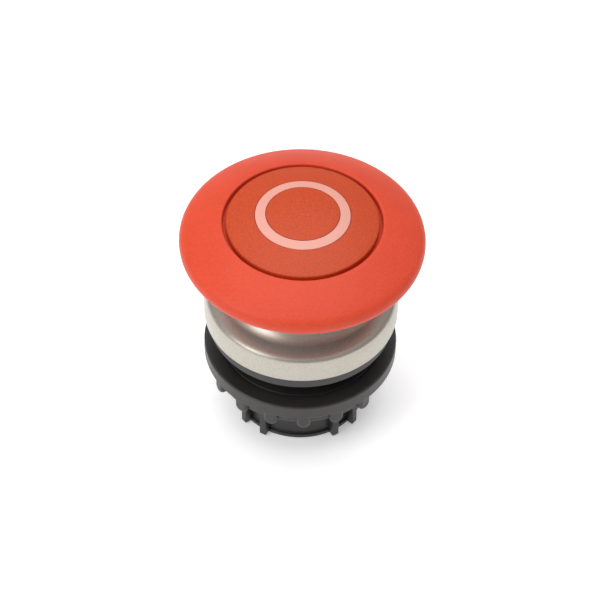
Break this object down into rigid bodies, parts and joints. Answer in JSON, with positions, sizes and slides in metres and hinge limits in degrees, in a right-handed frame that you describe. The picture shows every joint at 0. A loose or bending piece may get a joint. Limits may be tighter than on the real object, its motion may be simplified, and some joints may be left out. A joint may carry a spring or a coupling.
{
  "type": "mushroom push button operator",
  "caption": "Panel-mount stop button head: red mushroom cap with a ring-marked plate, silver trumpet bezel, gasket, black threaded body and lobed ring nut; spring return.",
  "frame": {"origin": "on the button's axis, on the plane where the gasket's lower face meets the panel's front", "axes": "+Z along the button's axis, out of the panel towards the operator; +Y towards the locating key (the top of the panel opening's notch); +X completes a right-handed frame"},
  "size_m": [0.0368, 0.0368, 0.0403],
  "materials": {
    "cap_red": "satin moulded thermoplastic",
    "plate_red": "finely grained",
    "mark_pink": "smooth",
    "silver_front": "satin, fine pearl grain",
    "gasket_rubber": "matt",
    "seal_rubber": "matt",
    "black_moulding": "satin moulded thermoplastic",
    "nut_plastic": "matt moulded thermoplastic",
    "bush_plastic": "smooth natural acetal",
    "spring_steel": "bright drawn"
  },
  "bodies": {
    "operator_body": {"body_housing": "black_moulding", "bezel": "silver_front", "bezel_o_ring": "seal_rubber", "panel_gasket": "gasket_rubber", "guide_bush": "bush_plastic", "lip_seal": "seal_rubber", "return_spring": "spring_steel", "spring_seat": "spring_steel", "stop_washer": "seal_rubber"},
    "plunger": {"mushroom_cap": "cap_red", "button_plate": "plate_red", "o_mark": "mark_pink", "plate_o_ring": "seal_rubber", "cap_carrier": "black_moulding", "snap_ring": "spring_steel", "stem": "black_moulding", "stem_o_ring": "seal_rubber", "retaining_clip": "spring_steel", "actuator_foot": "black_moulding"},
    "fixing_ring": {"ring_nut": "nut_plastic"}
  },
  "joints": [
    {"name": "press", "type": "slide", "parent": "operator_body", "child": "plunger", "axis": [0, 0, -1], "range_m": [0, 0.005], "stiffness_N_per_m": 600, "springref_m": -0.01, "deforming": ["return_spring"]},
    {"name": "ring_nut_turn", "type": "hinge", "parent": "operator_body", "child": "fixing_ring", "pos_m": [0, 0, -0.006], "axis": [0, 0, 1], "continuous": true}
  ]
}
